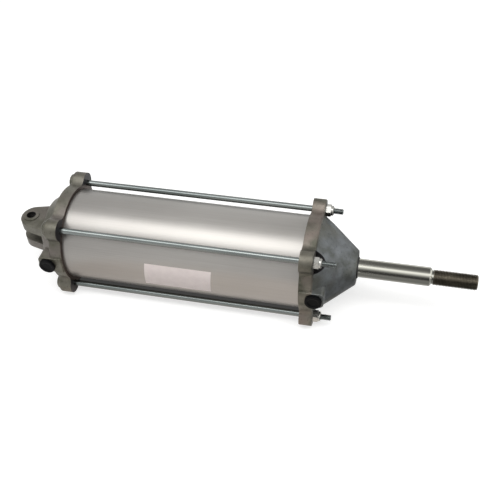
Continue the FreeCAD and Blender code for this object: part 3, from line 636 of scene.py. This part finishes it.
for word in quadrants:
    shape = joinShapes(hexBlank(nutSet), nutCollar(nutSet))
    turn = Matrix.Rotation(math.radians(nutSet["turns"][word]), 3, "X")
    bmesh.ops.rotate(shape, verts=shape.verts, cent=(0, 0, 0), matrix=turn)
    moveToTieRod(shape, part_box(f"lock_nut_{word}")[0].x, word)
    finishPiece(f"nut_{word}", shape, "zincNut", "barrel", [f"lock_nut_{word}"], 25)
print("lock nuts made")

# Port plugs: a rounded cap with a shallow dished face
plugSet = {
    "face": 0.0526,
    "rim": 0.0085,
    "height": 0.0032,
    "shank": 0.0068,
    "wall": 0.0018,
    "length": 0.009,
    "dish": 0.0006,
    "dishRadius": 0.0056,
    "dishSlope": 0.0007,
    "soften": 0.0005,
    "steps": 64,
}


def addPlug(name, body, node):
    low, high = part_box(node)
    foot, top = plugSet["face"], plugSet["face"] + plugSet["height"]
    dish, end = top - plugSet["dish"], foot - plugSet["length"]
    hollow = plugSet["shank"] - plugSet["wall"]
    shape = spinOutline([
        (dish, 0),
        (dish, plugSet["dishRadius"] - plugSet["dishSlope"]),
        (top, plugSet["dishRadius"]),
        (top, plugSet["rim"]),
        (foot, plugSet["rim"]),
        (foot, plugSet["shank"]),
        (end, plugSet["shank"]),
        (end, hollow),
        (foot, hollow),
        (foot, 0),
    ], plugSet["steps"], plugSet["soften"], 3)
    outwards = Matrix.Rotation(-math.pi / 2, 3, "Z")  # from +X to -Y, where the ports face
    bmesh.ops.rotate(shape, verts=shape.verts, cent=(0, 0, 0), matrix=outwards)
    bmesh.ops.translate(shape, verts=shape.verts, vec=((low.x + high.x) / 2, 0, 0))
    finishPiece(name, shape, "blackPlastic", body, [node], 40)


addPlug("plug_cap_rear", "rear_plug", "rear_port_plug")
addPlug("plug_cap_front", "front_plug", "front_port_plug")
print("port plugs made")

# The blank sticker on the tube. Its top and bottom are bearings from the near side, in degrees upwards.
labelSet = {
    "start": 0.1415,
    "end": 0.2112,
    "top": 16.9,
    "bottom": -19.0,
    "skew": 0.0022,
    "gap": 0.00003,
    "thickness": 0.0001,
    "segments": (30, 16),
}


def addLabel(values, tubeRadius):
    shape = bmesh.new()
    alongSegments, acrossSegments = values["segments"]
    bmesh.ops.create_grid(shape, x_segments=alongSegments, y_segments=acrossSegments, size=0.5)
    bmesh.ops.solidify(shape, geom=shape.faces[:], thickness=values["thickness"])
    for vert in shape.verts:
        across, along, height = vert.co.y + 0.5, vert.co.x + 0.5, vert.co.z
        bearing = math.radians(values["bottom"] + (values["top"] - values["bottom"]) * across)
        reach = tubeRadius + values["gap"] + abs(height)
        x = values["start"] + (values["end"] - values["start"]) * along + values["skew"] * (across - 0.5)
        vert.co = (x, -reach * math.cos(bearing), reach * math.sin(bearing))
    finishPiece("tube_label", shape, "labelPaper", "barrel")


addLabel(labelSet, tubeSet["outer"])
print("label made")

# The floor, the lamp and the world. The floor is pale under the lamp and gives the rest of its white itself,
# to the camera and to reflections. Close under the tube a shadow is painted into its colour and glow: a
# soft-edged dark strip between two places on the X axis, reaching the given width to each side.
stageSet = {
    "floorLevel": -0.0516,
    "floorSize": 4.0,
    "floorCentre": 0.2,
    "floorColour": (0.62, 0.62, 0.61),
    "floorWhite": 0.645,
    "shadeEnds": (0.04, 0.312),
    "shadeSide": 0.0255,
    "shadeSoft": 0.004,
    "shadeDepth": 0.93,
    "worldFill": 0.32,
    "keyPower": 20.3,
    "keyAngle": 75,
    "keyPlace": 0.62,
    "keyDistance": 1.3,
    "keySize": (2.7, 0.72),
}


def meshObject(name, shape):
    mesh = bpy.data.meshes.new(name)
    shape.to_mesh(mesh)
    shape.free()
    made = bpy.data.objects.new(name, mesh)
    bpy.context.scene.collection.objects.link(made)
    return made


# A material with nothing but its output node
def startBareMaterial(name):
    material, tree, shader = startMaterial(name)
    tree.nodes.remove(shader)
    return material, tree, tree.nodes["Material Output"].inputs["Surface"]


# 1 for the camera and for what mirrors and glass show, 0 for light on other things
def whiteForView(tree):
    path = addNode(tree, "ShaderNodeLightPath").outputs
    seen = calculate(tree, "MAXIMUM", path["Is Camera Ray"], path["Is Glossy Ray"])
    return calculate(tree, "MAXIMUM", seen, path["Is Transmission Ray"])


# 1 on the open floor, and nearly 0 in the shadow painted under the tube
def clearOfPaintedShadow(tree, values):
    axis = splitPlace(tree, objectPlace(tree))
    rear, front = values["shadeEnds"]
    soft = values["shadeSoft"]
    past = isAbove(tree, axis["X"], rear, soft)
    before = isBelow(tree, axis["X"], front, soft)
    under = isBelow(tree, calculate(tree, "ABSOLUTE", axis["Y"]), values["shadeSide"], soft)
    shade = calculate(tree, "MULTIPLY", calculate(tree, "MULTIPLY", past, before), under)
    return spread(tree, shade, 1, 1 - values["shadeDepth"], 0, 1)


def addFloor(values):
    shape = bmesh.new()
    bmesh.ops.create_grid(shape, x_segments=1, y_segments=1, size=values["floorSize"])
    bmesh.ops.translate(shape, verts=shape.verts, vec=(values["floorCentre"], 0, values["floorLevel"]))
    floor = meshObject("floor", shape)
    material, tree, surface = startBareMaterial("paleFloor")
    # painted shadow under the tube, in the floor's colour and glow
    outsidePaintedShadow = clearOfPaintedShadow(tree, values)
    colour = values["floorColour"]
    shaded = tuple(part * (1 - values["shadeDepth"]) for part in colour)
    matt = addNode(tree, "ShaderNodeBsdfDiffuse", {"Color": blendColour(tree, outsidePaintedShadow, shaded, colour)})
    white = calculate(tree, "MULTIPLY", outsidePaintedShadow, values["floorWhite"])
    strength = calculate(tree, "MULTIPLY", whiteForView(tree), white)
    glow = addNode(tree, "ShaderNodeEmission", {"Strength": strength})
    both = addNode(tree, "ShaderNodeAddShader", {0: matt.outputs[0], 1: glow.outputs[0]})
    tree.links.new(both.outputs[0], surface)
    floor.data.materials.append(material)


def addWorld(values):
    world = bpy.data.worlds.new("studio")
    bpy.context.scene.world = world
    world.use_nodes = True
    tree = world.node_tree
    background = tree.nodes["Background"]
    background.inputs["Color"].default_value = (1, 1, 1, 1)
    fill = spread(tree, whiteForView(tree), values["worldFill"], 1, 0, 1)
    tree.links.new(fill, background.inputs["Strength"])


def addKey(values):
    data = bpy.data.lights.new("keyLight", "AREA")
    data.shape = "RECTANGLE"
    data.size, data.size_y = values["keySize"]
    data.energy = values["keyPower"]
    lamp = bpy.data.objects.new("keyLight", data)
    bpy.context.scene.collection.objects.link(lamp)
    angle = math.radians(values["keyAngle"])
    towards = Vector((0, -math.cos(angle), math.sin(angle)))
    lamp.location = Vector((values["keyPlace"], 0, 0)) + towards * values["keyDistance"]
    lamp.rotation_euler = towards.to_track_quat("Z", "Y").to_euler()
    lamp.visible_camera = False


# Cards that only reflections see give the chrome and the tube their bands: an arch above the rod, and strips
# just over the floor. Each stop of the tones is (place, tone). On the arch the place is a bearing in degrees
# from the near side, and on a strip it is y. "ends" are places on the X axis.
archSet = {
    "ends": (0.27, 0.8),
    "radius": 1.0,
    "steps": 60,
    "tones": (
        (-8, 0.075), (8, 0.055), (20, 0.08), (40, 0.45), (56, 1.0), (66, 1.3), (78, 0.86), (91, 0.33),
        (116, 0.16), (141, 0.16), (172, 0.35),
    ),
}
stripLift = 0.0005  # above the floor
stripSet = {
    "edgeStrip": {"ends": (0.27, 0.8), "tones": ((-1.0, 0.1), (-0.45, 0.155))},
    "nearStrip": {
        "ends": (0.335, 0.8),
        "tones": ((-0.45, 0.155), (-0.3, 0.18), (-0.12, 0.225), (-0.05, 0.21), (-0.02, 0.38), (0.0, 0.55)),
    },
    "farStrip": {"ends": (0.335, 0.8), "tones": ((0.0, 0.55), (0.12, 0.42), (0.35, 0.34))},
    # The tube strip is dark just under the tube: a painted reflection of the tube's shadow on the floor.
    "tubeStrip": {
        "ends": (0.03, 0.32),
        "tones": (
            (-0.45, 0.92), (-0.075, 1.05), (-0.045, 0.95), (-0.036, 0.55), (-0.02, 0.2), (0.04, 0.17),
            (0.07, 0.95),
        ),
        "tint": (1, 0.93, 0.88),
    },
}


# A glow whose tone runs from stop to stop along a value
def toneMaterial(name, tones, byBearing, tint=(1, 1, 1)):
    material, tree, surface = startBareMaterial(name)
    axis = splitPlace(tree, objectPlace(tree))
    value = axis["Y"]
    if byBearing:
        turned = calculate(tree, "ARCTAN2", axis["Z"], calculate(tree, "MULTIPLY", axis["Y"], -1.0))
        value = calculate(tree, "DEGREES", turned)
    first, last = tones[0][0], tones[-1][0]
    curve = addNode(tree, "ShaderNodeFloatCurve", {"Value": spread(tree, value, 0, 1, first, last)})
    line = curve.mapping.curves[0]
    brightest = max(tone for stop, tone in tones)
    spots = [((stop - first) / (last - first), tone / brightest) for stop, tone in tones]
    line.points[0].location, line.points[1].location = spots[0], spots[-1]
    for spot in spots[1:-1]:
        line.points.new(*spot)
    curve.mapping.update()
    strength = calculate(tree, "MULTIPLY", curve.outputs[0], brightest)
    glow = addNode(tree, "ShaderNodeEmission", {"Strength": strength, "Color": (*tint, 1)})
    tree.links.new(glow.outputs[0], surface)
    return material


def finishCard(name, shape, material):
    card = meshObject(name, shape)
    card.data.materials.append(material)
    card.visible_camera = False
    card.visible_diffuse = False
    card.visible_shadow = False
    card.visible_transmission = False


def addArch(name, values):
    tones = values["tones"]
    first, last = math.radians(tones[0][0]), math.radians(tones[-1][0])
    shape = bmesh.new()
    near = [shape.verts.new((x, -values["radius"], 0)) for x in values["ends"]]
    edge = shape.edges.new(near)
    bmesh.ops.rotate(shape, verts=near, cent=(0, 0, 0), matrix=Matrix.Rotation(-first, 3, "X"))
    bmesh.ops.spin(
        shape, geom=near + [edge], cent=(0, 0, 0), axis=(-1, 0, 0), dvec=(0, 0, 0), angle=last - first,
        steps=values["steps"], use_merge=False,
    )
    finishCard(name, shape, toneMaterial(name + "Tone", tones, True))


def addStrip(name, level, ends, tones, tint=(1, 1, 1)):
    start, end = ends
    first, last = tones[0][0], tones[-1][0]
    shape = bmesh.new()
    bmesh.ops.create_grid(shape, x_segments=1, y_segments=8, size=0.5)
    bmesh.ops.scale(shape, verts=shape.verts, vec=(end - start, last - first, 1))
    bmesh.ops.translate(shape, verts=shape.verts, vec=((start + end) / 2, (first + last) / 2, level))
    finishCard(name, shape, toneMaterial(name + "Tone", tones, False, tint))


addFloor(stageSet)
addWorld(stageSet)
addKey(stageSet)
addArch("rodArch", archSet)
for name, values in stripSet.items():
    addStrip(name, stageSet["floorLevel"] + stripLift, **values)
bpy.context.scene.view_settings.view_transform = "Standard"
print("stage set")
